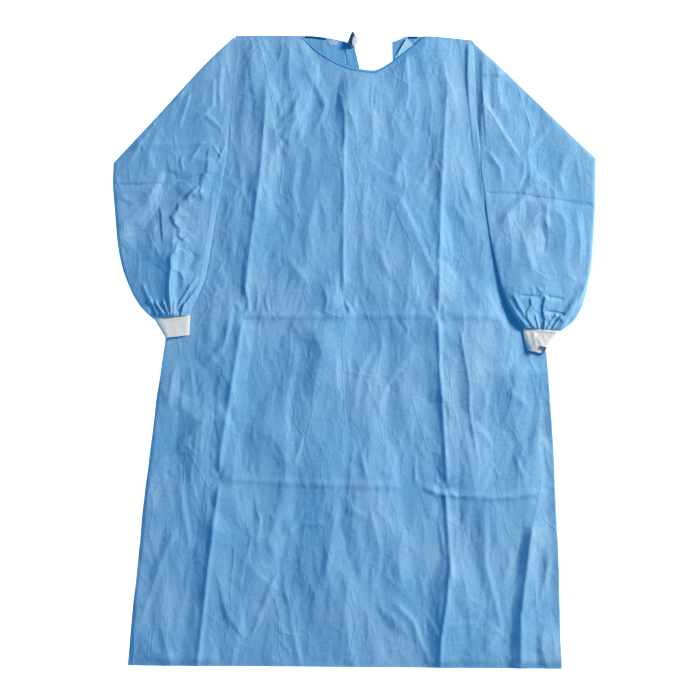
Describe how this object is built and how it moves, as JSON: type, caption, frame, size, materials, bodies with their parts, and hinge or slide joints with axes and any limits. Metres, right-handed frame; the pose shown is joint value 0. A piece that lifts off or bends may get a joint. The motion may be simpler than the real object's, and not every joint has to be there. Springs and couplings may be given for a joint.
{
  "type": "surgical gown",
  "caption": "Long-sleeved open-back surgical gown of thin blue cloth with white knitted cuffs, laid out flat with the sleeves folded down over the front.",
  "frame": {"origin": "middle of the outline, on the surface that the gown lies on", "axes": "+Y from the hem to the neck, +Z up from the surface, +X across the gown, to the right for a viewer above whose up is +Y"},
  "size_m": [0.9178, 1.2119, 0.0275],
  "materials": {
    "nonwoven_blue": "matt spunbonded cloth, creased from packing",
    "binding_blue": "matt woven binding tape",
    "knit_white": "soft ribbed knit"
  },
  "bodies": {
    "root": {"front_panel": "nonwoven_blue", "back_panel_left": "nonwoven_blue", "back_panel_right": "nonwoven_blue", "back_facing_left": "nonwoven_blue", "back_facing_right": "nonwoven_blue", "sleeve_left": "nonwoven_blue", "sleeve_right": "nonwoven_blue", "neck_binding_front": "binding_blue", "neck_binding_left": "binding_blue", "neck_binding_right": "binding_blue", "neck_tab": "binding_blue", "cuff_left": "knit_white", "cuff_right": "knit_white", "hook_patch": "knit_white", "loop_patch": "knit_white"}
  },
  "joints": []
}
